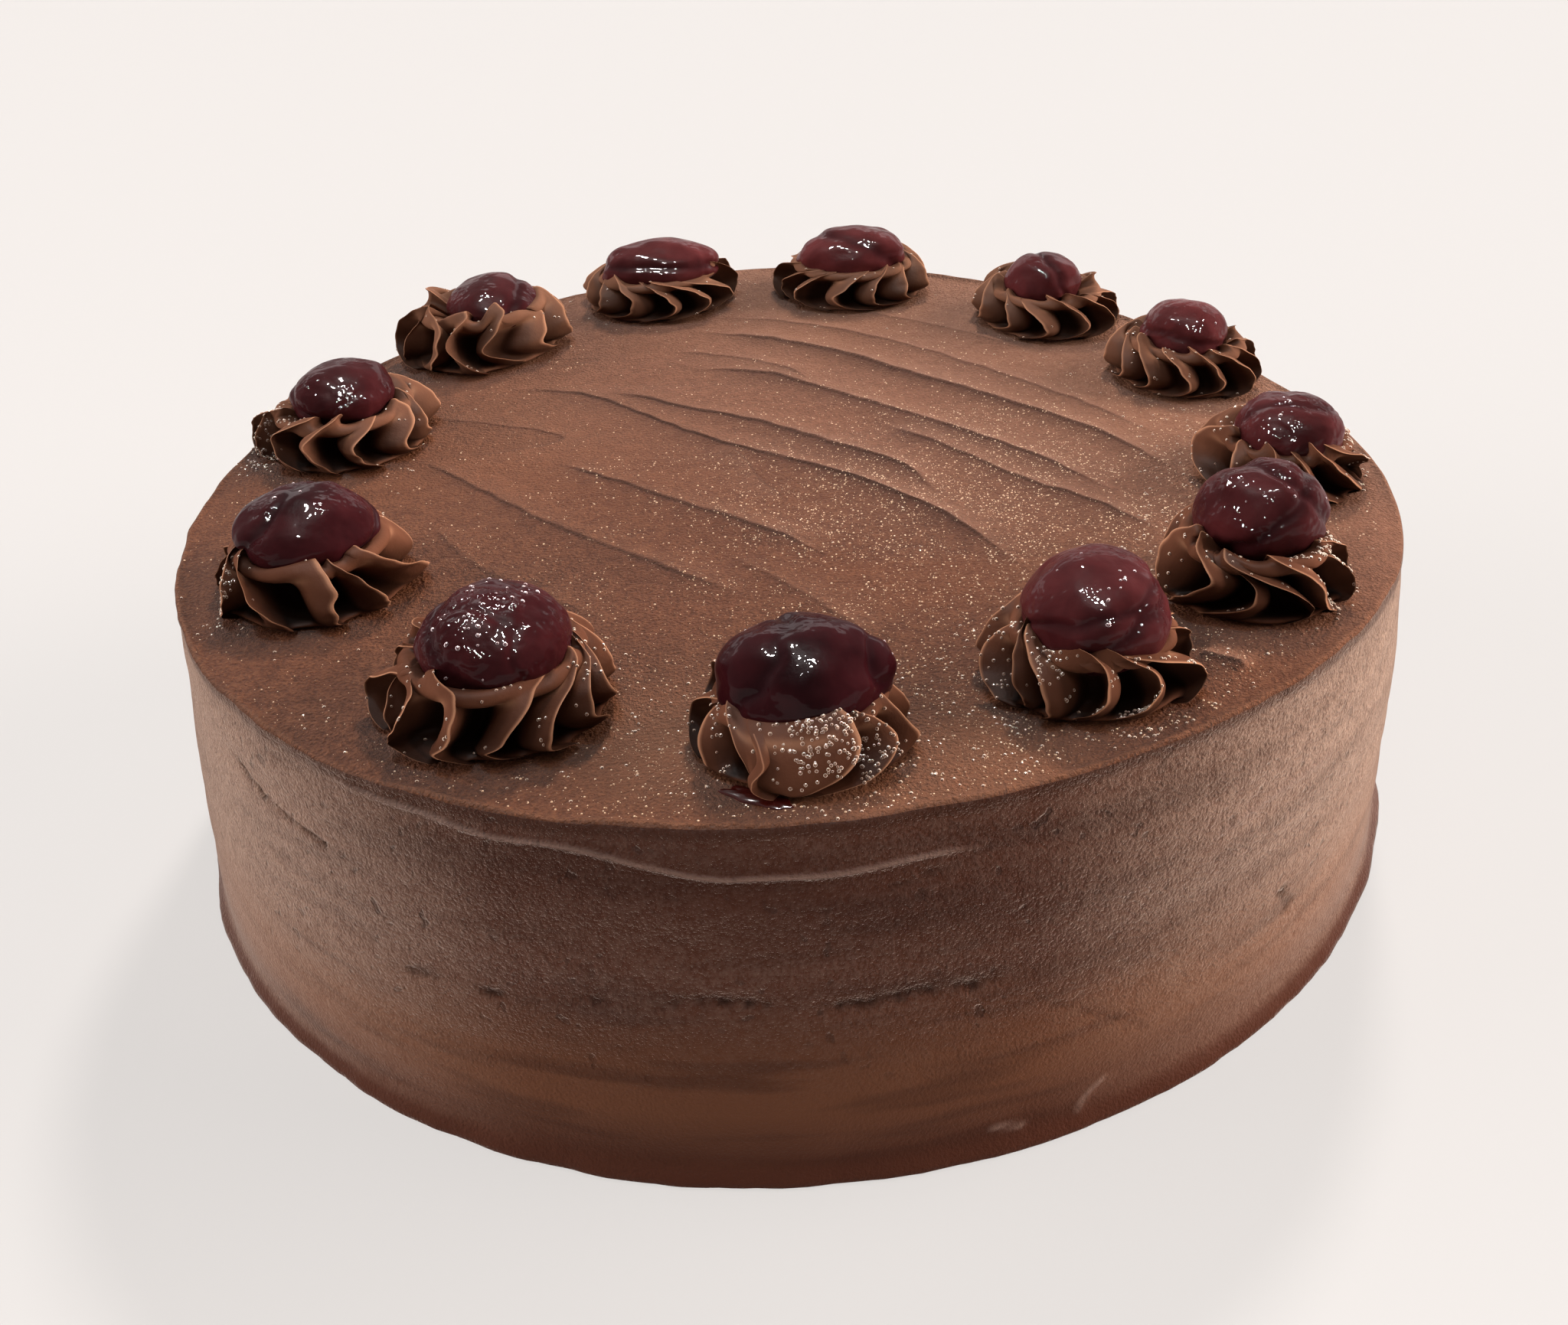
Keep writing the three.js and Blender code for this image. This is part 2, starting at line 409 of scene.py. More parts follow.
# each: points as (degrees round the side, mm up), height of the raised edge (below 0 is a groove), width
sideLines = [
    ([(-127, 56.2), (-121, 55.6), (-117, 55.2), (-112, 53.8), (-107, 54.4), (-101, 52.2), (-96, 50.0),
      (-92, 50.2), (-87, 49.8), (-81, 51.0), (-76, 50.6)], 0.5, 0.28),
    ([(-76, 50.6), (-79, 48.6), (-84, 46.8)], -0.3, 0.5),
    ([(-142, 48.6), (-139, 47.0), (-136, 45.6), (-131, 44.8), (-127, 43.8)], -0.8, 0.38),
    ([(-124, 27.6), (-119, 29.4), (-114, 28.4), (-108, 31.0), (-104, 30.4), (-97, 32.2), (-92, 30.4),
      (-87, 29.8), (-81, 30.8), (-76, 29.2), (-70, 31.0)], -0.65, 0.8),
    ([(-74, 26.6), (-71, 22.4), (-66, 16.5), (-63, 11.6)], -0.25, 0.5),
    ([(-49, 23.0), (-48, 20.0), (-47, 17.6)], -0.6, 0.9),
    ([(-70, 2.4), (-69, 5.0), (-67, 7.0)], 0.35, 0.4),
    ([(-77, 4.4), (-74, 3.4)], 0.3, 0.4),
    ([(-58, 40.0), (-50, 41.5), (-42, 40.2)], 0.2, 0.6),
    ([(12, 30.0), (30, 31.5), (52, 30.4), (70, 31.8)], -0.35, 0.8),
    ([(84, 49.5), (98, 51.0), (112, 49.0), (126, 50.2), (140, 48.8)], 0.32, 0.5),
    ([(150, 24.0), (166, 26.0), (178, 24.6)], -0.3, 0.7),
]


def icingOutline():
    # from the middle of the underside out, up the side, over the rim and in to the middle of the top
    level, radius, rounding = shape["level"], icing["topRadius"], icing["rimRound"]
    under = [(share * icing["footOut"], 0) for share in (0, 0.5, 0.94)]
    foot = [(icing["footOut"] - 0.3, 0), (icing["footOut"], 0.3), (icing["footOut"] - 0.25, 1.1),
            (icing["footOut"] - 0.9, icing["footHeight"]), (icing["sideFoot"] + 0.25, 3.5)]
    side = []
    for share in np.linspace(0, 1, icing["sideRows"]):
        height = icing["footBlend"] + share * (level - 2.4 - icing["footBlend"])
        bulge = icing["belly"] * 4 * share * (1 - share)
        side.append((icing["sideFoot"] + share * (radius - icing["sideFoot"]) + bulge, height))
    rim = [(radius, level - 1.9), (radius, level - 1.2)]
    rim += [(radius - rounding * (1 - math.cos(turn)), level - rounding * (1 - math.sin(turn)))
            for turn in np.radians([0, 18, 36, 54, 72, 90])]
    inner = radius - rounding
    top = [(inner - step, level) for step in (0.25, 0.55, 0.9, 1.5, 2.5)]
    top += [(inner - 2.5 - (inner - 2.5) * share, level) for share in np.linspace(0, 1, icing["topRows"])[1:]]
    return [(out * mm, height * mm) for out, height in under + foot + side + rim + top]


def refineNear(bm, lines, within, unrolled):
    # splits the faces near the lines, so that a thin edge has enough mesh
    centres = np.array([face.calc_center_median() for face in bm.faces]) / mm
    flat, used = unrolled(centres)
    near = np.zeros(len(centres), bool)
    for line in lines:
        distance, _ = offLine(flat, line)
        near |= np.abs(distance) < within
    near &= used
    edges = {edge for face, close in zip(bm.faces, near) if close for edge in face.edges}
    bmesh.ops.subdivide_edges(bm, edges=list(edges), cuts=1, use_grid_fill=True)


def onTop(places):
    return places[:, :2], places[:, 2] > shape["level"] - 0.05


def onSide(places):
    # the side rolled out flat: mm round the cake and mm up
    turn = np.arctan2(places[:, 1], places[:, 0])
    out = np.hypot(places[:, 0], places[:, 1])
    return np.stack([turn * icing["topRadius"], places[:, 2]], 1), (out > 98) & (places[:, 2] > 1)


def sideLine(points):
    # a line round the side, rolled out flat in the same way
    path = np.array(points, float)
    path[:, 0] = np.radians(path[:, 0]) * icing["topRadius"]
    return softLine(path)


def topMarks(x, y):
    # spatula edges, sweeps and soft waves on the top, in mm, and masks of painted highlight on their far
    # slopes and painted shade on their near slopes
    flat = np.stack([x, y], 1)
    height, edgeHighlightMask, shadeMask = np.zeros((3, len(x)))
    wobble = noiseOver(x, y, 0, 0.22, 3) * 0.5
    # to the right the edges are crests with broad slopes, to the left thin steps
    broad = 0.25 + 0.75 * smoothStep(x, -25, 25)
    for line, edge, reach in spatulaLines:
        distance, share = offLine(flat, softLine(line))
        distance = distance * math.copysign(1, reach) + wobble
        taper = smoothStep(share, 0, 0.16) * smoothStep(1 - share, 0, 0.2)
        step = np.exp(-np.clip(distance, 0, None) / abs(reach)) * smoothStep(distance, -0.35, 0.15)
        crest = np.exp(-np.abs(distance) / icing["crestReach"])
        height += edge * taper * (icing["step"] * step + icing["crest"] * broad * crest)
        shown = taper * min(1, edge * 2)
        beyond = smoothStep(distance, -0.2, 0.15)
        farSide = np.exp(-np.clip(distance, 0, None) / icing["farReach"]) * beyond
        edgeHighlightMask = np.maximum(edgeHighlightMask, shown * broad * farSide)
        nearSide = np.exp(-np.clip(-distance, 0, None) / icing["nearReach"]) * (1 - beyond)
        nearSide *= 0.34 + 0.5 * broad
        nearSide += 0.7 * np.exp(-((distance + 0.1) / 0.32) ** 2)
        shadeMask = np.maximum(shadeMask, shown * nearSide)
    # sweeps of the spatula round a point to the lower left
    across, ahead = x - icing["sweepCentre"][0], y - icing["sweepCentre"][1]
    sweepOut, sweepTurn = np.hypot(across, ahead), np.arctan2(ahead, across)
    height += icing["sweepHeight"] * noiseOver(sweepOut * 0.16, sweepTurn * 1.6, 0, 1, 1)
    height += icing["fineSweepHeight"] * noiseOver(sweepOut * 0.8, sweepTurn * 3.0, 0, 1, 2)
    return height, edgeHighlightMask, shadeMask


def sideMarks(turn, up):
    # creases, the rough crack and the knocks round the side: mm out, and masks of painted highlight on raised
    # edges and painted shade in cuts
    flat = np.stack([turn * icing["topRadius"], up], 1)
    depth, edgeHighlightMask, cutShade = np.zeros((3, len(turn)))
    rough = noiseOver(flat[:, 0], up, 0, 0.75, 8)
    gaps = np.clip(0.65 + 2.4 * noiseOver(flat[:, 0], 0, 0, 0.17, 12), 0.1, 1)
    for points, edge, width in sideLines:
        distance, share = offLine(flat, sideLine(points))
        taper = smoothStep(share, 0, 0.08) * smoothStep(1 - share, 0, 0.1)
        if edge > 0:
            crest = np.exp(-(distance / width) ** 2)
            mark = crest + 0.3 * np.exp(-np.clip(-distance, 0, None) / 2.0) * (distance < 0)
            edgeHighlightMask = np.maximum(edgeHighlightMask, taper * crest)
        else:
            mark = np.exp(-((distance + 0.9 * rough) / width) ** 2) * (0.55 + 0.9 * np.clip(rough, -0.5, 1))
            mark *= gaps if len(points) > 8 else 1  # only the long crack comes and goes
            cutShade = np.maximum(cutShade, taper * min(1, -2 * edge) * np.clip(1.3 * mark, 0, 1))
        depth += edge * taper * mark
    depth += icing["waveDepth"] * noiseOver(turn * 2.2, up * 0.16, 0, 1, 5)
    depth += icing["fineWaveDepth"] * noiseOver(turn * 9, up * 0.35, 0, 1, 6)
    return depth, edgeHighlightMask, cutShade


def makeIcing(materials):
    outline = np.array(icingOutline())
    bm, column, row = closedGrid(icing["segments"], len(outline) - 1)
    around = column / icing["segments"] * math.tau
    for vert, turn, (out, height) in zip(bm.verts, around, outline[row]):
        vert.co = out * math.cos(turn), out * math.sin(turn), height
    closeUp(bm)
    topPaths = [softLine(line) for line, _, _ in spatulaLines]
    for within in icing["topWithin"]:
        refineNear(bm, topPaths, within, onTop)
    sidePaths = [sideLine(points) for points, _, _ in sideLines]
    thinPaths = [sidePaths[0], sidePaths[2]]  # the long crease and the cut at the left need the finest mesh
    for within, paths in zip(icing["sideWithin"], (sidePaths, thinPaths, thinPaths)):
        refineNear(bm, paths, within, onSide)
    mesh = meshFrom(bm, "cakeIcing")
    x, y, z = (meshPlaces(mesh) / mm).T
    flatHeight, level = z, shape["level"]
    turn, out = np.arctan2(y, x), np.hypot(x, y)
    up = smoothStep(z, 0, level)
    onTopShare = smoothStep(z, level - icing["rimRound"], level - 0.2)
    onSideShare = smoothStep(out, 96, 99.5) * smoothStep(z, 0.4, 3)
    onSideShare *= 1 - smoothStep(z, level - 1.6, level - 0.1)
    circle = np.stack([np.cos(turn), np.sin(turn), 0 * turn], 1)
    # the rim's thin burr, its small wobble and the stretch that is rubbed round
    burr = np.clip(0.30 + 0.45 * noiseAt(circle, 7, 11) + 0.2 * noiseAt(circle, 23, 12), 0, 0.8)
    rubbed = np.exp(-((np.degrees(turn) - icing["rubbedAt"]) / icing["rubbedWidth"]) ** 2)
    burr *= 1 - rubbed
    nearRim = np.exp(-((out - icing["burrOut"]) / icing["burrWidth"]) ** 2) * onTopShare
    rimWobble = 0.45 * noiseAt(circle, 9, 13) + 0.22 * noiseAt(circle, 26, 14)
    marks, topEdgeHighlight, topShade = topMarks(x, y)
    marks *= 1 - smoothStep(out, *icing["rimFade"])
    z = z + topRise(x, y) * up + onTopShare * (marks + burr * nearRim)
    z = z - rubbed * icing["rubbedDepth"] * smoothStep(out, 95.5, 100) * up
    depth, sideEdgeHighlight, sideCutShade = sideMarks(turn, z)
    spread = 1 + waveSum(shape["out"], turn) / shape["radius"] * up
    rimShare = smoothStep(z, level - 6, level)
    out = out * spread + onSideShare * depth + rimWobble * rimShare * smoothStep(out, 94, 99)
    # the foot's ragged edge
    footShare = smoothStep(out, 104.0, 105.4) * (1 - smoothStep(z, 2.0, 4.5))
    out = out + footShare * (0.5 * noiseAt(circle, 9, 15) + 0.18 * noiseAt(circle, 34, 16) - 0.1)
    setPlaces(mesh, np.stack([out * np.cos(turn), out * np.sin(turn), z], 1) * mm)
    # masks of painted light: a highlight on raised edges, shade on near slopes and in cuts
    addMask(mesh, "edgeHighlight", np.clip(topEdgeHighlight * onTopShare + sideEdgeHighlight * onSideShare, 0, 1))
    addMask(mesh, "slopeAndCutShade", np.clip(topShade * onTopShare + sideCutShade * onSideShare, 0, 1))
    # a painted highlight along the rim's burr
    addMask(mesh, "rimHighlight", np.exp(-((np.hypot(x, y) - 99.5) / 0.3) ** 2) * onTopShare * (0.3 + burr))
    addMask(mesh, "footEdge", footShare)
    addMask(mesh, "rimShade", smoothStep(flatHeight, level - 2.4, level - 1.2))
    # pools of painted light
    addMask(mesh, "paintedLightSpot", np.clip(sum(spotShare(x, y, spot) for spot in paintedLightSpots), 0, 1))
    # the side and foot take the second material
    below = flatHeight < level - 0.3 * icing["rimRound"]
    isSide = [all(below[i] for i in face.vertices) for face in mesh.polygons]
    piece = addPiece("cakeIcing", mesh, materials, "frosting", "cake_body")
    mesh.polygons.foreach_set("material_index", np.array(isSide, np.int32))
    print("icing:", len(mesh.polygons), "faces")
    return piece


topColours = {
    "deep": (0.054, 0.0150, 0.0056, 1), "high": (0.102, 0.0308, 0.0117, 1),
    "paintedBackLight": (0.175, 0.077, 0.046, 1), "paintedFrontShade": (0.055, 0.017, 0.007, 1),
    "glint": (0.190, 0.071, 0.033, 1), "paintedBackLightGlint": (0.310, 0.155, 0.100, 1),
    "paintedLightSpot": (0.200, 0.085, 0.045, 1), "rimHighlight": (0.20, 0.085, 0.042, 1),
    "edgeHighlight": (0.26, 0.135, 0.09, 1), "slopeAndCutShade": (0.035, 0.011, 0.005, 1),
}


def makeTopIcingMaterial():
    material, tree, shader = newMaterial("topIcing", {"Specular IOR Level": 0.1})
    place = objectPlace(tree)
    grain = grainOn(tree, place, 1900.0, 420.0, 0.3)
    drift = toneOn(tree, objectPlace(tree, (0.35, 1.6, 1), (0, 0, math.radians(38))), 34.0, 0.28)
    colour = mixColours(tree, drift, topColours["deep"], topColours["high"])
    # painted light and shade: paler toward the back right, where the light and its sheen fall, and darker
    # toward the front left
    across = addNode(tree, "ShaderNodeVectorMath", {0: place, 1: (0.6, 0.8, 0)}, operation="DOT_PRODUCT")
    backLightShare = mapRange(tree, across.outputs["Value"], -0.06, 0.08, -0.35, 0.95)
    paintedBackLight = addMath(tree, "MAXIMUM", backLightShare, 0.0)
    paintedFrontShade = multiply(tree, addMath(tree, "MINIMUM", backLightShare, 0.0), -2.0)
    colour = mixColours(tree, paintedBackLight, colour, topColours["paintedBackLight"])
    colour = mixColours(tree, paintedFrontShade, colour, topColours["paintedFrontShade"])
    # pools of painted light
    colour = paintMask(tree, colour, "paintedLightSpot", 1.0, topColours["paintedLightSpot"])
    # the tips of the grain catch the light
    glint = mixColours(tree, paintedBackLight, topColours["glint"], topColours["paintedBackLightGlint"])
    colour = mixColours(tree, mapRange(tree, grain, 0.39, 0.64, 0.0, 0.62), colour, glint)
    # painted highlight on the far slopes of the spatula edges and on the rim, painted shade on their near
    # slopes
    for mask, share in (("edgeHighlight", 0.5), ("slopeAndCutShade", 0.75), ("rimHighlight", 0.45)):
        colour = paintMask(tree, colour, mask, share, topColours[mask])
    tree.links.new(colour, shader.inputs["Base Color"])
    tree.links.new(mapRange(tree, drift, 0, 1, 0.60, 0.72), shader.inputs["Roughness"])
    addBump(tree, shader, grain, 0.0016, 1.0)
    return material


sideColours = {
    "deep": (0.043, 0.0120, 0.0060, 1), "high": (0.071, 0.0230, 0.0120, 1),
    "low": (0.120, 0.045, 0.021, 1), "streak": (0.032, 0.0090, 0.0045, 1),
    "bloom": (0.20, 0.130, 0.102, 1), "paintedSheen": (0.42, 0.272, 0.200, 1), "pitShade": (0.016, 0.006, 0.004, 1),
    "edgeHighlight": (0.22, 0.135, 0.105, 1), "slopeAndCutShade": (0.020, 0.008, 0.005, 1),
    "footEdge": (0.055, 0.016, 0.008, 1), "rimShade": (0.040, 0.0118, 0.0055, 1),
}


def makeSideIcingMaterial():
    material, tree, shader = newMaterial("sideIcing", {
        "Sheen Weight": 0.75, "Sheen Roughness": 0.15, "Sheen Tint": (1.0, 0.84, 0.74, 1),
        "Specular IOR Level": 0.08,
    })
    place = objectPlace(tree)
    grain = grainOn(tree, place, 2000.0, 600.0, 0.3)
    drift = toneOn(tree, objectPlace(tree, (0.5, 0.5, 2.2)), 26.0, 0.22)
    height = axisOf(tree, place, "Z")
    front = mapRange(tree, axisOf(tree, place, "Y"), -0.056, 0.012, 1.0, 0.0)
    colour = mixColours(tree, drift, sideColours["deep"], sideColours["high"])
    # painted light thrown up from the floor: a warmer, lighter band low down, most at the front
    low = multiply(tree, mapRange(tree, height, 0.032, 0.018),
                   mapRange(tree, height, 0.004, 0.012, 0.1, 0.75), addMath(tree, "MAXIMUM", front, 0.2))
    colour = mixColours(tree, low, colour, sideColours["low"])
    # darker streaks from the scraper, long round the side and a few millimetres high
    streaks = addNoise(tree, objectPlace(tree, (0.15, 0.15, 1.2)), 190.0, 2.0)
    colour = mixColours(tree, mapRange(tree, streaks, 0.50, 0.66, 0.0, 0.55), colour, sideColours["streak"])
    bloom = multiply(tree, mapRange(tree, grain, 0.42, 0.62), mapRange(tree, height, 0.012, 0.03),
                     mapRange(tree, drift, 0, 1, 0.10, 0.3))
    colour = mixColours(tree, bloom, colour, sideColours["bloom"])
    # painted sheen and side light: paler most at the left and right of the front, and a little further in on
    # the right
    aside = addMath(tree, "ABSOLUTE", addMath(tree, "ADD", axisOf(tree, place, "X"), 0.004))
    paintedSheen = multiply(tree, mapRange(tree, aside, 0.034, 0.093), mapRange(tree, grain, 0.35, 0.6, 0.3, 1.0),
                       front, mapRange(tree, height, 0.010, 0.034, 0.35, 0.95),
                       mapRange(tree, streaks, 0.45, 0.66, 1.0, 0.72))
    colour = mixColours(tree, paintedSheen, colour, sideColours["paintedSheen"])
    # painted highlight on raised creases, painted shade in cuts and under the rim
    for mask, share in (("edgeHighlight", 0.6), ("slopeAndCutShade", 0.8), ("footEdge", 1.0), ("rimShade", 0.7)):
        colour = paintMask(tree, colour, mask, share, sideColours[mask])
    # a scatter of small pits, dented in the bump, with painted shade in them
    pits = multiply(tree, mapRange(tree, addNoise(tree, place, 430.0, 1.0), 0.665, 0.72),
                    toneOn(tree, place, 60.0, 0.15), mapRange(tree, height, 0.013, 0.024))
    colour = mixColours(tree, multiply(tree, pits, 0.5), colour, sideColours["pitShade"])
    tree.links.new(colour, shader.inputs["Base Color"])
    tree.links.new(mapRange(tree, height, 0.006, 0.016, 0.45, 0.68), shader.inputs["Roughness"])
    pebbles = multiply(tree, grain, mapRange(tree, height, 0.012, 0.034, 0.35, 1.0))
    pebbles = addMath(tree, "SUBTRACT", pebbles, multiply(tree, pits, 0.25))
    addBump(tree, shader, pebbles, 0.0010, 0.9)
    return material


cakeIcing = makeIcing([makeTopIcingMaterial(), makeSideIcingMaterial()])


# rosettes: piped ganache ruffles

ruffle = {
    "rows": 72, "columnsPerFold": 39,
    "hemAt": 5 / 18, "topAt": 15 / 18,  # where along the outline the hem and the top of a fold lie
    # across one fold, from one thin edge to the next: (share of the span, share of the depth)
    "across": [(0, 1), (-0.03, 0.93), (-0.08, 0.75), (-0.10, 0.50), (-0.06, 0.25), (0.05, 0.06), (0.20, 0.0),
               (0.36, 0.04), (0.48, 0.25), (0.60, 0.52), (0.74, 0.78), (0.88, 0.93), (0.97, 0.995), (1, 1)],
    # outline at an edge and in a valley as (share of radius, share of height), from below round to the middle
    "crest": [(0, -0.03), (0.50, -0.03), (0.76, -0.03), (0.82, 0.0), (0.89, 0.04), (0.95, 0.09),
              (0.99, 0.15), (1.01, 0.22), (1.025, 0.31), (1.02, 0.42), (0.995, 0.54), (0.95, 0.67),
              (0.88, 0.79), (0.80, 0.89), (0.72, 0.96), (0.63, 1.0), (0.50, 0.85), (0.25, 0.55), (0, 0.5)],
    "valley": [(0, -0.03), (0.40, -0.03), (0.60, -0.03), (0.72, -0.02), (0.81, 0.02), (0.86, 0.065),
               (0.83, 0.11), (0.71, 0.12), (0.59, 0.14), (0.51, 0.22), (0.48, 0.34), (0.49, 0.47),
               (0.57, 0.60), (0.72, 0.69), (0.78, 0.79), (0.71, 0.90), (0.52, 0.80), (0.25, 0.55),
               (0, 0.5)],
    # how far a fold's edge sways round at six heights from the hem to the top, in degrees
    "sway": [26, 7, 0, 5, 18, 34],
    # how far the crinkles move an edge out, as a share of its reach, and round, in radians
    "crinkleOut": 0.022, "crinkleTurn": 0.06,
}

# size: radius, depth and height in mm; folds: how many; frill: how crinkled the edges are;
# hand: the way the hems curl (1: to the right from outside).
# drawn: folds given one by one, each as the degrees round the rosette at six heights from the hem to the top.
# filled: spans between two edges that bulge out smoothly, by number; turned: spans that lean the other way
rosetteRows = [
    {"size": (14.8, 14.2, 9.0), "hand": 1, "folds": 12, "uneven": 0.3, "seed": 21, "frill": 0.3,
     "drawn": [
        [-152, -154, -157, -161, -166, -172], [-112, -116, -121, -130, -146, -160],
        [-106, -113, -114, -110, -116, -126], [-96, -84, -70, -62, -60, -64],
        [-86, -62, -48, -40, -44, -52], [-12, -18, -22, -26, -24, -20], [16, 10, 4, 2, 8, 16],
    ], "filled": {1: 0.95, 2: 1.0, 3: 0.55}, "turned": [0, 1]},
    {"size": (14.4, 14.2, 9.5), "hand": -1, "folds": 14, "uneven": 0.3, "seed": 5, "drawn": [
        [-152, -160, -174, -182, -184, -184], [-142, -141, -148, -154, -162, -170],
        [-128, -122, -124, -131, -148, -165], [-112, -102, -93, -92, -102, -130],
        [-90, -70, -61, -65, -81, -105], [-42, -30, -26, -36, -60, -80], [-4, 4, 8, 0, -14, -30],
    ]},
    {"size": (14.2, 13.8, 10.0), "hand": -1, "folds": 13, "uneven": 0.3, "seed": 9, "drawn": [
        [-174, -178, -184, -188, -184, -172], [-162, -154, -140, -131, -148, -160],
        [-142, -130, -108, -102, -120, -146], [-80, -68, -69, -86, -122, -138],
        [-46, -57, -62, -65, -80, -95], [-30, -28, -26, -28, -34, -48],
    ]},
    {"size": (14.6, 14.0, 8.5), "hand": -1, "folds": 12, "uneven": 0.35, "seed": 3, "drawn": [
        [-160, -170, -192, -197, -185, -170], [-138, -139, -141, -145, -150, -156],
        [-108, -110, -112, -114, -117, -132], [-68, -76, -85, -90, -95, -102],
        [-42, -50, -60, -68, -78, -86], [4, -4, -14, -36, -60, -72],
    ]},
    {"size": (15.0, 14.0, 8.5), "hand": -1, "folds": 13, "uneven": 0.25, "seed": 7},
    {"size": (15.2, 14.0, 8.0), "hand": -1, "folds": 12, "uneven": 0.3, "seed": 11},
    {"size": (16.4, 14.4, 8.2), "hand": 1, "folds": 12, "uneven": 0.3, "seed": 13},
    {"size": (16.8, 14.4, 8.0), "hand": -1, "folds": 13, "uneven": 0.3, "seed": 15},
    {"size": (17.0, 15.0, 11.0), "hand": 1, "folds": 12, "uneven": 0.35, "seed": 17, "drawn": [
        [-158, -155, -150, -150, -154, -172], [-126, -120, -114, -113, -120, -149],
        [-80, -90, -101, -106, -95, -92], [-50, -66, -81, -70, -58, -64], [-12, -24, -36, -30, -18, -24],
    ]},
    {"size": (16.8, 16.0, 8.5), "hand": 1, "folds": 12, "uneven": 0.3, "seed": 19, "drawn": [
        [-148, -150, -152, -156, -160, -150], [-108, -118, -127, -135, -120, -104],
        [-84, -89, -98, -103, -92, -78], [-55, -62, -70, -72, -60, -45],
        [-20, -34, -38, -24, -15, -10], [2, -6, -10, -8, 2, 12],
    ]},
    {"size": (16.4, 15.6, 9.5), "hand": 1, "folds": 12, "uneven": 0.35, "seed": 23, "drawn": [
        [-172, -172, -172, -174, -178, -185], [-138, -136, -132, -133, -142, -160],
        [-92, -97, -108, -118, -130, -140], [-62, -68, -68, -66, -66, -70],
        [-36, -38, -40, -48, -55, -60], [12, 4, -6, -22, -31, -38],
    ]},
    {"size": (17.0, 15.8, 10.5), "hand": 1, "folds": 14, "uneven": 0.3, "seed": 25, "drawn": [
        [-148, -150, -151, -158, -162, -164], [-118, -137, -135, -132, -133, -146],
        [-100, -111, -107, -103, -106, -125], [-72, -90, -84, -71, -58, -36],
        [-46, -60, -63, -54, -28, -10], [-20, -28, -36, -33, -12, 2], [6, -4, -15, -13, 0, 16],
    ]},
]


def makeFolds(row):
    # the path of each fold's edge round the rosette, and how it differs from the others
    dice = random.Random(row["seed"])
    uneven, drawn = row["uneven"], row.get("drawn", [])
    paths = [list(path) for path in drawn]
    missing = row["folds"] - len(drawn)
    first = drawn[-1][2] if drawn else dice.uniform(0, 30)
    last = drawn[0][2] + 360 if drawn else first + 360
    steps = np.array([1 + 0.6 * uneven * dice.uniform(-1, 1) for _ in range(missing + bool(drawn))])
    for step in (steps.cumsum() / steps.sum())[:missing]:
        middle = first + (last - first) * step
        size = [1 + uneven * dice.uniform(-1, 1), 1 + uneven * dice.uniform(-1, 1)]
        paths.append([middle + row["hand"] * sway * size[i > 2] for i, sway in enumerate(ruffle["sway"])])
    folds = {"path": np.radians(paths)}
    for key, size in (("reach", 0.25), ("tall", 0.5)):
        folds[key] = np.array([1 + uneven * size * dice.uniform(-1, 1) for _ in paths])
    filled, turned = row.get("filled", {}), row.get("turned", [])
    folds["fill"] = np.array([filled.get(i, max(0, dice.uniform(-0.6, 0.3))) for i in range(len(paths))])
    folds["hand"] = np.array([-row["hand"] if i in turned else row["hand"] for i in range(len(paths))])
    return folds


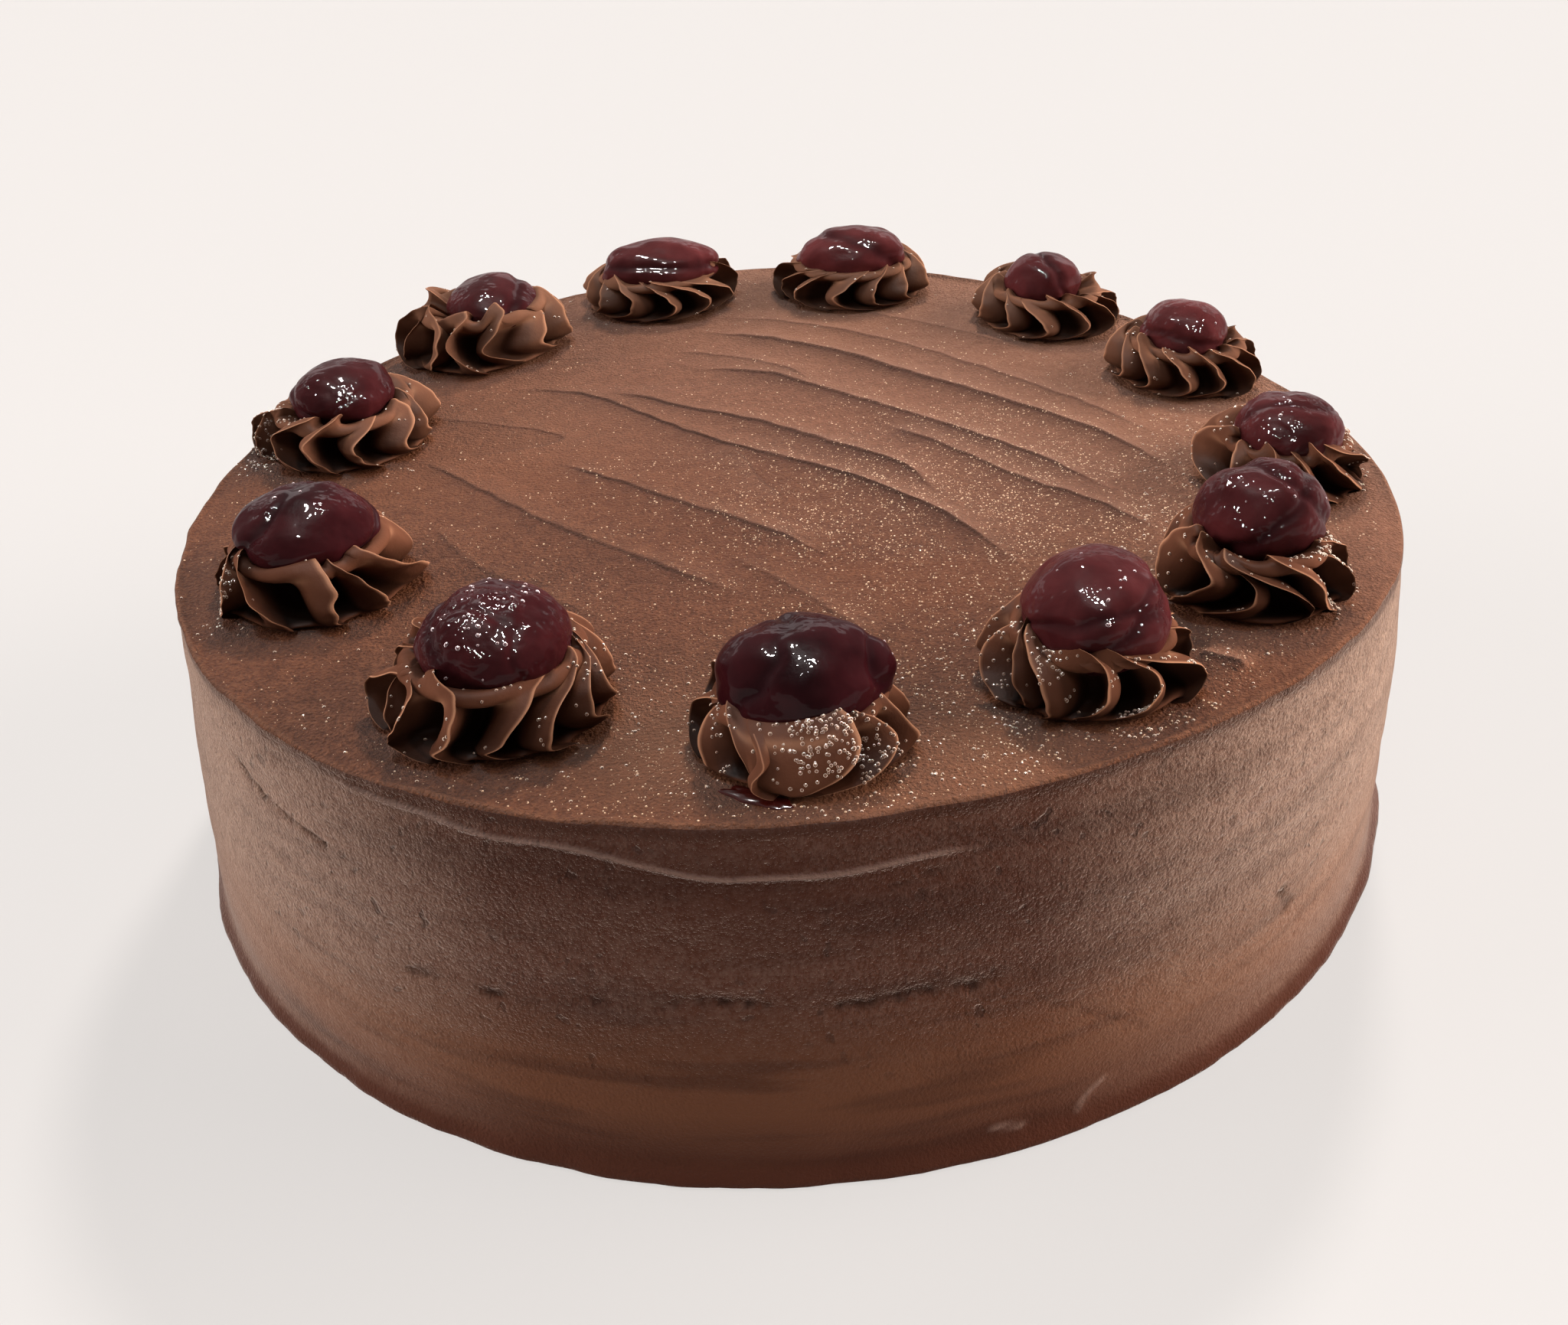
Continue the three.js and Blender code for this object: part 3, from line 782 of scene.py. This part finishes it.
def makeRosette(number, row, material):
    label = f"{number:02d}"
    rows, perFold = ruffle["rows"], ruffle["columnsPerFold"]
    radius, depth, height = row["size"]
    folds = makeFolds(row)
    count = len(folds["path"])
    bm, column, step = closedGrid(perFold * count, rows)
    along = step / rows
    fold, part = column // perFold, (column % perFold) / perFold
    after = (fold + 1) % count
    blend = part * part * (3 - 2 * part)
    own = {key: folds[key][fold] * (1 - blend) + folds[key][after] * blend for key in ("reach", "tall")}
    # the fold's section is drawn leaning right, and mirrored where it leans left
    hand = folds["hand"][fold]
    ahead = np.where(hand > 0, part, 1 - part)
    across = curveThrough(ruffle["across"], ahead)
    share, crest = across[:, 0], np.clip(across[:, 1], 0, 1)
    share = np.where(hand > 0, share, 1 - share)
    climb = np.clip((along - ruffle["hemAt"]) / (ruffle["topAt"] - ruffle["hemAt"]), 0, 1)
    start, end = np.empty(len(along)), np.empty(len(along))
    for i, path in enumerate(folds["path"]):
        here = fold == i
        following = folds["path"][(i + 1) % count] + math.tau * (i == count - 1)
        start[here] = curveThrough(path[:, None], climb[here])[:, 0]
        end[here] = curveThrough(following[:, None], climb[here])[:, 0]
    turn = start + (end - start) * share
    crestPlace = curveThrough(ruffle["crest"], along)
    valleyPlace = curveThrough(ruffle["valley"], along)
    fill = folds["fill"][fold] * np.sin(math.pi * part) ** 0.5
    valleyPlace = valleyPlace + fill[:, None] * (crestPlace * [0.98, 0.94] - valleyPlace)
    reach = valleyPlace[:, 0] + crest * (crestPlace[:, 0] * own["reach"] - valleyPlace[:, 0])
    rise = valleyPlace[:, 1] + crest * (crestPlace[:, 1] * own["tall"] - valleyPlace[:, 1])
    ripple = 1 + 0.03 * noiseOver(np.cos(turn) * 2, np.sin(turn) * 2, along * 3, 1.3, row["seed"])
    # small crinkles along each thin edge
    nearest = (fold + (part > 0.5)) % count
    fringe = row.get("frill", 1.0) * smoothStep(crest, 0.72, 1.0) * smoothStep(climb, 0.0, 0.12)
    outward = noiseOver(nearest * 5.3, along * 15, 0, 1.0, row["seed"] + 1)
    sideways = noiseOver(nearest * 7.1, along * 12, 0, 1.0, row["seed"] + 2)
    reach = reach * radius * (ripple + ruffle["crinkleOut"] * fringe * outward)
    turn = turn + ruffle["crinkleTurn"] * fringe * sideways
    px, py, pz = reach * np.cos(turn), reach * np.sin(turn), rise * height
    low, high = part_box(f"rosette_{label}")
    centre = (low + high) / 2 / mm
    # narrower across the ring than along it
    way = np.array(centre[:2]) / math.hypot(*centre[:2])
    off = (px * way[0] + py * way[1]) * (1 - depth / radius)
    px, py = px - off * way[0] + centre[0], py - off * way[1] + centre[1]
    pz = pz + shape["level"] + topRise(px, py) + 0.05
    edge = bm.verts.layers.float.new("crestHighlight")
    deep = bm.verts.layers.float.new("pocketShade")
    # painted highlight along each thin edge, and painted shade deep in the pockets
    edges = smoothStep(crest, 0.972, 0.998) * smoothStep(along, 0.2, 0.27)
    pocketShades = (1 - smoothStep(crest - 0.45 * (1 - climb) ** 1.5, 0.0, 0.5)) * (1 - fill)
    pocketShades *= 1 - smoothStep(climb, 0.60, 0.80)
    # painted shade: the faces darken toward the hem, but the tongue that closes a pocket stays light
    pocketShades = np.maximum(pocketShades, 0.65 * (1 - smoothStep(climb, 0.05, 0.80)) * (1 - fill) * (1 - edges))
    pocketShades *= 1 - 0.85 * (1 - smoothStep(climb, 0.02, 0.15)) * (1 - smoothStep(crest, 0.2, 0.6))
    # a painted highlight along the arch over each pocket
    arch = np.exp(-((climb - 0.74) / 0.05) ** 2) * (1 - smoothStep(crest, 0.6, 0.95))
    edges = np.maximum(edges, 0.6 * arch)
    for vert, x, y, z, edgeHighlightMask, pocketShadeMask in zip(bm.verts, px * mm, py * mm, pz * mm, edges, pocketShades):
        vert.co = x, y, z
        vert[edge] = edgeHighlightMask
        vert[deep] = pocketShadeMask
    mesh = meshFrom(closeUp(bm), f"rosetteRuffle_{label}")
    return addPiece(f"rosetteRuffle_{label}", mesh, [material], "piped_ganache", f"rosette_{label}")


ganacheColours = {
    "deep": (0.060, 0.0215, 0.0115, 1), "high": (0.112, 0.0428, 0.0240, 1),
    "far": (0.20, 0.10, 0.062, 1), "crest": (0.34, 0.165, 0.095, 1),
    "hollowShade": (0.010, 0.0042, 0.0024, 1), "farHollowShade": (0.028, 0.012, 0.007, 1),
}


def makeGanacheMaterial():
    material, tree, shader = newMaterial("pipedGanache", {"Specular IOR Level": 0.02})
    place = objectPlace(tree)
    grain = grainOn(tree, place, 1400.0, 420.0, 0.5)
    drift = toneOn(tree, place, 90.0, 0.25)
    colour = mixColours(tree, drift, ganacheColours["deep"], ganacheColours["high"])
    # the far rosettes are a little paler
    far = mapRange(tree, axisOf(tree, place, "Y"), -0.03, 0.09)
    colour = mixColours(tree, multiply(tree, far, 0.5), colour, ganacheColours["far"])
    # painted shade in the pockets, less of it on the far rosettes
    hollowShade = mixColours(tree, far, ganacheColours["hollowShade"], ganacheColours["farHollowShade"])
    colour = paintMask(tree, colour, "pocketShade", 1.0, hollowShade)
    # a painted highlight along the thin edges
    colour = paintMask(tree, colour, "crestHighlight", 0.7, ganacheColours["crest"])
    tree.links.new(colour, shader.inputs["Base Color"])
    tree.links.new(mapRange(tree, drift, 0, 1, 0.50, 0.62), shader.inputs["Roughness"])
    addBump(tree, shader, grain, 0.00015, 0.8)
    return material


ganache = makeGanacheMaterial()
rosettes = [makeRosette(number, row, ganache) for number, row in enumerate(rosetteRows, 1)]
print("rosettes:", len(rosettes), "of", len(rosettes[0].data.polygons), "faces")


# cherries: dark, syrupy and wrinkled

cherry = {"splits": 6, "lobes": 0.09, "firstSeed": 31}

# how wet, pale, creased and wrinkled each is, and its seams: the plane's normal, its shift, depth and width
# on the far cherries the paleness is painted reflection, on the near ones it is their own colour
cherryRows = [
    (0.3, 0, 0.004, 0.002, [((-0.9, 0.05, 0.42), 0.6, 0.07, 0.09), ((0.97, 0, 0.2), 0.86, 0.05, 0.06)]),
    (0.7, 0.4, 0.01, 0.005, [((0.5, -0.2, -0.8), 0.1, 0.07, 0.14), ((-0.28, 0.2, 0.94), 0.3, 0.045, 0.08)]),
    (0.85, 0.35, 0.014, 0.006, [((-0.6, 0.1, 0.75), 0.15, 0.07, 0.12), ((0.7, 0.4, 0.5), 0.5, 0.06, 0.12)]),
    (0.8, 0.5, 0.02, 0.008, [((0.1, 0.9, 0.3), 0.1, 0.06, 0.16)]),
    (0.8, 0.75, 0.014, 0.005, [((0.3, 0.2, 0.9), 0, 0.06, 0.16)]),
    (0.5, 0.5, 0.01, 0.004, [((0.9, 0.2, 0.2), 0.2, 0.07, 0.16)]),
    (0.3, 0.75, 0.012, 0.004, [((0.6, 0.5, 0.5), 0.1, 0.06, 0.16)]),
    (0.2, 0.7, 0.014, 0.005, [((0.1, 0.3, 0.9), 0.1, 0.05, 0.16)]),
    (0.8, 0.3, 0.01, 0.004, [((0.8, 0.2, -0.5), 0.1, 0.06, 0.16)]),
    (0.9, 0.2, 0.014, 0.006, [((0.3, -0.4, 0.8), 0.2, 0.07, 0.14)]),
    (0.7, 0.05, 0.016, 0.007, [((0.1, -0.5, 0.8), 0.1, 0.07, 0.14), ((-0.8, 0.3, 0.4), 0.4, 0.06, 0.12)]),
    (1, 0.15, 0.024, 0.013, [((0.6, -0.3, 0.7), 0.1, 0.05, 0.14)]),
]


def makeCherry(number, row, material):
    label = f"{number:02d}"
    wet, pale, creased, wrinkled, seams = row
    seed = cherry["firstSeed"] + number - 1
    bm = bmesh.new()
    bmesh.ops.create_icosphere(bm, subdivisions=cherry["splits"], radius=1)
    mesh = meshFrom(bm, f"cherryFruit_{label}")
    ball = meshPlaces(mesh)
    size = 1 + cherry["lobes"] * (noiseAt(ball, 1.3, seed) + 0.4 * noiseAt(ball, 2.6, seed + 1))
    creases = np.exp(-(noiseAt(ball, 1.25, seed + 2) / 0.11) ** 2)
    size -= creased * creases * np.clip(0.5 + 1.6 * noiseAt(ball, 1.1, seed + 5), 0, 1)
    size += wrinkled * (noiseAt(ball, 5.5, seed + 3) + 0.55 * noiseAt(ball, 12.0, seed + 6))
    bend = 0.12 * noiseAt(ball, 2.0, seed + 4)
    seamShadeMask = np.zeros(len(ball))
    for normal, shift, depth, width in seams:
        cut = np.exp(-((ball @ normal / np.linalg.norm(normal) - shift + bend) / width) ** 2)
        size -= depth * cut
        seamShadeMask = np.maximum(seamShadeMask, cut)
    places = ball * size[:, None]
    lowest, highest = places.min(0), places.max(0)
    low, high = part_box(f"cherry_{label}")
    share = (places - lowest) / (highest - lowest)
    setPlaces(mesh, np.array(low) + share * np.array(high - low))
    # mask of painted shade in the seams
    addMask(mesh, "seamShade", seamShadeMask)
    addMask(mesh, "wetPatch", wet * np.clip(0.45 + 2.0 * noiseAt(ball, 1.8, seed + 7), 0, 1))
    addMask(mesh, "paleFruit", np.full(len(ball), pale))
    return addPiece(f"cherryFruit_{label}", mesh, [material], "cherry", f"cherry_{label}")


cherryColours = {
    "deep": (0.009, 0.0011, 0.0018, 1), "high": (0.024, 0.0036, 0.0048, 1),
    "pale": (0.135, 0.028, 0.028, 1), "seam": (0.008, 0.002, 0.003, 1),
}


def makeCherryMaterial():
    material, tree, shader = newMaterial("cherrySkin", {
        "Sheen Weight": 0.10, "Sheen Roughness": 0.14, "Sheen Tint": (0.85, 0.66, 0.72, 1),
        "Coat Weight": 0.30, "Coat Roughness": 0.035, "Coat IOR": 1.4, "Specular IOR Level": 0.01,
    })
    place = objectPlace(tree)
    drift = toneOn(tree, place, 120.0, 0.2)
    colour = mixColours(tree, drift, cherryColours["deep"], cherryColours["high"])
    paleness = mapRange(tree, drift, 0, 1, 0.35, 0.75)
    # paleness: painted reflection on the far cherries, own colour on the near ones
    colour = paintMask(tree, colour, "paleFruit", paleness, cherryColours["pale"])
    # painted shade in the seams
    colour = paintMask(tree, colour, "seamShade", 0.5, cherryColours["seam"])
    tree.links.new(colour, shader.inputs["Base Color"])
    tree.links.new(mapRange(tree, drift, 0, 1, 0.32, 0.46), shader.inputs["Roughness"])
    addBump(tree, shader, grainOn(tree, place, 1500.0, 420.0, 0.5), 0.00012, 0.7)
    # the syrup on it lies in small ripples that break up the highlights
    ripples = multiply(tree, addNoise(tree, place, 620.0, 1.0), readMask(tree, "wetPatch"))
    addBump(tree, shader, ripples, 0.0012, 1.0, "Coat Normal")
    return material


cherrySkin = makeCherryMaterial()
cherries = [makeCherry(number, row, cherrySkin) for number, row in enumerate(cherryRows, 1)]
print("cherries:", len(cherries), "of", len(cherries[0].data.polygons), "faces")


# droplets: fine beads of water on the top, and larger ones on the rosettes and cherries

droplets = {
    # tries, most beads kept, smallest and largest radius in mm, flattening, segments and rings of a bead
    "fineMist": {"tries": 90000, "most": 16000, "smallest": 0.06, "largest": 0.11, "squash": 0.8,
                 "segments": 4, "rings": 2, "share": 1, "seed": 76},
    "mistBeads": {"tries": 60000, "most": 8900, "smallest": 0.08, "largest": 0.19, "squash": 0.8,
                  "segments": 6, "rings": 3, "share": 1, "seed": 77},
    "petalDroplets": {"tries": 260000, "most": 3100, "smallest": 0.18, "largest": 0.29, "squash": 0.75,
                      "segments": 8, "rings": 5, "share": 0.25, "topShare": 0.18, "seed": 78},
    "cherryDroplets": {"tries": 120000, "most": 700, "smallest": 0.12, "largest": 0.34, "squash": 0.8,
                       "segments": 8, "rings": 5, "share": 0.012, "stretch": 0.6, "seed": 79},
}

# from how high droplets fall in metres, how far out they stay and where the ring of rosettes starts in mm,
# the least upward share of a slope that they stay on, and how far they sink in as a share of their size
fall = {"from": 0.12, "within": 99, "ringFrom": 62, "slope": 0.15, "sunk": 0.1}
down = Vector((0, 0, -1))


def wetness(x, y):
    # the chance that a falling droplet stays, by place: wettest at the right and the front
    middle = np.exp(-(((x - 32) / 40) ** 2 + ((y + 20) / 38) ** 2))
    front = np.exp(-(((x - 12) / 50) ** 2 + ((y + 85) / 22) ** 2))
    rim = np.exp(-((np.hypot(x, y) - 97.6) / 0.8) ** 2 - ((x - 12) / 18) ** 2) * (y < 0)
    return np.clip(0.045 + 0.75 * middle + 0.45 * front + 0.35 * rim, 0, 1)


# extra wet places on the rosettes and on the cherries: centre in mm, reach in mm, strength
wetSpots = {
    "petalDroplets": [(6, -92, 6.5, 0.7), (46, -86, 3.5, 0.8), (33, -80, 2.5, 0.35), (79, -57, 4, 0.8),
                      (-83, -42, 3, 0.8), (-91, 17, 4, 0.8), (97, -14, 4, 0.8)],
    "cherryDroplets": [(-39, -76, 5, 0.12), (-35, -67, 3.5, 0.06), (-42, -66, 3, 0.04), (84, -15, 4, 0.05),
                       (70, -52, 4, 0.03), (41, -75, 4, 0.07), (-72, -34, 4, 0.02)],
}


def makeBead(own):
    # a low dome with a flat underside
    bm = bmesh.new()
    bmesh.ops.create_uvsphere(bm, u_segments=own["segments"], v_segments=2 * own["rings"] - 2, radius=1)
    bmesh.ops.delete(bm, geom=[vert for vert in bm.verts if vert.co.z < -0.01], context="VERTS")
    bmesh.ops.holes_fill(bm, edges=bm.edges, sides=0)
    bmesh.ops.recalc_face_normals(bm, faces=bm.faces)
    bmesh.ops.triangulate(bm, faces=bm.faces)
    bead = meshFrom(bm, "bead")
    places = meshPlaces(bead) * [1, 1, own["squash"]]
    faces = np.array([tuple(face.vertices) for face in bead.polygons])
    bpy.data.meshes.remove(bead)
    return places, faces


def surfacesFrom(pieces):
    surfaces = []
    for piece in pieces:
        corners = meshPlaces(piece.data)
        faces = [tuple(face.vertices) for face in piece.data.polygons]
        surfaces.append((BVHTree.FromPolygons(corners.tolist(), faces), corners.min(0), corners.max(0)))
    return surfaces


def landOn(surfaces, x, y):
    # where a droplet falling at a place lands, if not on too steep a slope
    start = Vector((x * mm, y * mm, fall["from"]))
    best = None
    for number, (tree, low, high) in enumerate(surfaces):
        if low[0] <= start.x <= high[0] and low[1] <= start.y <= high[1]:
            hit, normal, _, _ = tree.ray_cast(start, down)
            if hit is not None and (best is None or hit.z > best[0].z):
                best = hit, normal, number
    return best if best and best[1].z > fall["slope"] else None


def makeDroplets(name, surfaces, wanted, material):
    # wanted: which of the surfaces these droplets stay on
    own = droplets[name]
    dice = np.random.default_rng(own["seed"])
    beadPlaces, beadFaces = makeBead(own)
    x, y = dice.uniform(-100, 100, (own["tries"], 2)).T
    out = np.hypot(x, y)
    onTheTop = list(wanted) == [0]
    clump = noiseOver(x, y, 0, 0.09 if onTheTop else 0.3, 30)
    chance = wetness(x, y) * (0.75 + (0.8 if onTheTop else 2.0) * clump) * own["share"]
    keep = (out < fall["within"]) & (dice.uniform(0, 1, len(x)) < chance)
    if not onTheTop:
        keep &= out > fall["ringFrom"]
    for spot in wetSpots.get(name, []):
        keep |= (dice.uniform(0, 1, len(x)) < spotShare(x, y, spot)) & (out < fall["within"] + 1)
    verts = []
    for above in zip(x[keep], y[keep]):
        landed = landOn(surfaces, *above)
        if landed is None or landed[2] not in wanted:
            continue
        if landed[2] == 0 and dice.uniform() > own.get("topShare", 1):
            continue
        place, normal, _ = landed
        size = (own["smallest"] + (own["largest"] - own["smallest"]) * dice.uniform() ** 2) * mm
        longer, spin = 1 + own.get("stretch", 0) * dice.uniform() ** 2, dice.uniform(0, math.tau)
        bead = beadPlaces * [longer, 1, 1] @ np.array(Matrix.Rotation(spin, 3, "Z")).T
        turn = np.array(normal.to_track_quat("Z", "Y").to_matrix())
        verts.append(np.array(place) + (bead @ turn.T - fall["sunk"] * np.array(normal)) * size)
        if len(verts) == own["most"]:
            break
    faces = (beadFaces[None] + (np.arange(len(verts)) * len(beadPlaces))[:, None, None]).reshape(-1, 3)
    mesh = bpy.data.meshes.new(name)
    mesh.from_pydata(np.concatenate(verts).tolist(), [], faces.tolist())
    shadeSmooth(mesh)
    print(name + ":", len(verts), "beads with", len(mesh.polygons), "faces")
    return addPiece(name, mesh, [material], "frosting")


def makeDropletMaterial(name, middle, rim, low, high):
    # a ring of light round a middle that shows what lies below
    material, tree, shader = newMaterial(name, {
        "Roughness": 0.15, "Coat Weight": 1.0, "Coat Roughness": 0.03, "Specular IOR Level": 0.6,
    })
    facing = addNode(tree, "ShaderNodeLayerWeight", {"Blend": 0.5}).outputs["Facing"]
    ring = mapRange(tree, facing, low, high)
    tree.links.new(mixColours(tree, ring, middle, rim), shader.inputs["Base Color"])
    return material


mistWater = makeDropletMaterial("mistWater", (0.60, 0.36, 0.20, 1), (0.95, 0.74, 0.54, 1), 0.1, 0.5)
petalWater = makeDropletMaterial("petalWater", (0.12, 0.05, 0.026, 1), (0.86, 0.68, 0.54, 1), 0.25, 0.5)
cherryWater = makeDropletMaterial("cherryWater", (0.10, 0.05, 0.055, 1), (0.85, 0.72, 0.74, 1), 0.25, 0.5)
surfaces = surfacesFrom([cakeIcing] + rosettes + cherries)
# the surfaces are the icing, the rosettes and the cherries in turn; the petals' beads lie on the icing too
for name, wanted, water in (
    ("fineMist", [0], mistWater),
    ("mistBeads", [0], mistWater),
    ("petalDroplets", range(13), petalWater),
    ("cherryDroplets", range(13, 25), cherryWater),
):
    makeDroplets(name, surfaces, wanted, water)


# syrup: a small smear of cherry syrup in front of the front rosette

syrup = {"centre": (-4.2, -94.4), "length": 5.0, "width": 1.5, "height": 0.45, "turn": -28, "seed": 90}


def makeSyrup(surfaces):
    bm = bmesh.new()
    bmesh.ops.create_uvsphere(bm, u_segments=48, v_segments=16, radius=1)
    mesh = meshFrom(bm, "syrupSmear")
    x, y, z = meshPlaces(mesh).T
    ragged = 1 + 0.3 * noiseOver(np.arctan2(y, x), 0, 0, 1.6, syrup["seed"])
    x, y = x * syrup["length"] * ragged, y * syrup["width"] * ragged
    turn = math.radians(syrup["turn"])
    x, y = x * math.cos(turn) - y * math.sin(turn), x * math.sin(turn) + y * math.cos(turn)
    x, y = x + syrup["centre"][0], y + syrup["centre"][1]
    ground = [landOn(surfaces[:1], *above)[0].z for above in zip(x, y)]
    z = np.array(ground) / mm + z * syrup["height"] * np.where(z > 0, 1, 0.3)
    setPlaces(mesh, np.stack([x, y, z], 1) * mm)
    material, _, _ = newMaterial("cherrySyrup", {
        "Base Color": (0.035, 0.004, 0.003, 1), "Roughness": 0.12, "Specular IOR Level": 0.5,
    })
    addPiece("syrupSmear", mesh, [material], "cherry")


makeSyrup(surfaces)
print("syrup: one smear in front of the front rosette")


# floor, light and camera

studio = {
    "floorSize": 16.0, "floorColour": (0.14, 0.133, 0.130, 1),
    "warmWhite": (1.0, 0.965, 0.94, 1), "floorGlow": 0.60, "worldBack": 0.42, "worldFront": 0.22,
    # the main light comes from behind and above, wide soft ones from the sides:
    # direction, strength, how soft the shadows are and colour
    "suns": {
        "backSun": ((0.20, 0.68, 0.70), 3.8, 8, (1.0, 0.96, 0.92)),
        "leftSky": ((-1.0, 0.12, 0.06), 8.2, 60, (1.0, 0.94, 0.91)),
        "rightSky": ((1.0, 0.12, 0.06), 14.5, 60, (1.0, 0.91, 0.84)),
    },
    # place, width, height, power in watts, colour and what it lights; all are aimed at the cake
    "aim": (0, 0, 0.04),
    "lights": {
        "frontSoftbox": ((0.0, -0.40, 1.3), 0.7, 0.5, 3.2, (1.0, 0.96, 0.93), "matt"),
        "rimWindow": ((0.0, 1.5, 0.60), 3.0, 0.4, 6.0, (1.0, 0.90, 0.91), "glossy"),
        "spotA": ((-0.10, -0.02, 1.2), 0.09, 0.07, 34.0, (1.0, 0.98, 0.96), "glossy"),
        "spotB": ((0.18, -0.12, 1.2), 0.06, 0.05, 18.0, (1.0, 0.98, 0.96), "glossy"),
        "spotC": ((-0.25, 0.25, 1.1), 0.09, 0.04, 17.0, (1.0, 0.98, 0.96), "glossy"),
        "spotD": ((-0.02, -0.45, 1.1), 0.05, 0.04, 7.0, (1.0, 0.98, 0.96), "glossy"),
    },
}

camera = {
    "place": (0.00087, -0.2561, 0.1775),
    "pitchDown": 31.94, "turn": -0.19, "roll": -4.303,
    "lens": 37.563, "sensor": 36.0,
}


def makeFloor():
    bm = bmesh.new()
    bmesh.ops.create_grid(bm, x_segments=2, y_segments=2, size=studio["floorSize"] / 2)
    floor = addObject("floor", meshFrom(bm, "floor"))
    material, _, _ = newMaterial("paleFloor", {
        "Roughness": 0.9, "Specular IOR Level": 0.0, "Base Color": studio["floorColour"],
        "Emission Color": studio["warmWhite"], "Emission Strength": studio["floorGlow"],
    })
    floor.data.materials.append(material)


def makeLights():
    for name, (direction, strength, softness, colour) in studio["suns"].items():
        sun = bpy.data.lights.new(name, "SUN")
        sun.energy = strength
        sun.angle = math.radians(softness)
        sun.color = colour
        lamp = addObject(name, sun)
        lamp.rotation_euler = Vector(direction).to_track_quat("Z", "Y").to_euler()
        lamp.visible_glossy = False
    for name, (place, width, height, power, colour, lit) in studio["lights"].items():
        light = bpy.data.lights.new(name, "AREA")
        light.shape = "RECTANGLE"
        light.size, light.size_y = width, height
        light.energy = power
        light.color = colour
        lamp = addObject(name, light)
        lamp.location = place
        aim = Vector(studio["aim"]) - Vector(place)
        lamp.rotation_euler = aim.to_track_quat("-Z", "Y").to_euler()
        lamp.visible_glossy = lit == "glossy"
        lamp.visible_diffuse = lit == "matt"


def makeWorld():
    world = bpy.data.worlds.new("softStudio")
    world.use_nodes = True
    tree = world.node_tree
    way = addNode(tree, "ShaderNodeTexCoord").outputs["Generated"]
    strength = mapRange(tree, axisOf(tree, way, "Y"), -0.6, 0.7, studio["worldFront"], studio["worldBack"])
    background = tree.nodes["Background"]
    background.inputs["Color"].default_value = studio["warmWhite"]
    tree.links.new(strength, background.inputs["Strength"])
    bpy.context.scene.world = world


def makeCamera():
    data = bpy.data.cameras.new("camera")
    data.sensor_width = camera["sensor"]
    data.lens = camera["lens"]
    data.clip_start = 0.01
    cameraObject = addObject("camera", data)
    tilt = Euler((math.radians(90 - camera["pitchDown"]), 0, math.radians(-camera["turn"]))).to_matrix()
    spin = Matrix.Rotation(math.radians(camera["roll"]), 3, "Z")
    cameraObject.matrix_world = Matrix.Translation(camera["place"]) @ (tilt @ spin).to_4x4()
    bpy.context.scene.camera = cameraObject


makeFloor()
makeLights()
makeWorld()
makeCamera()
bpy.context.scene.view_settings.view_transform = "Standard"
bpy.context.scene.view_settings.look = "None"
print("floor, lights and camera are set")
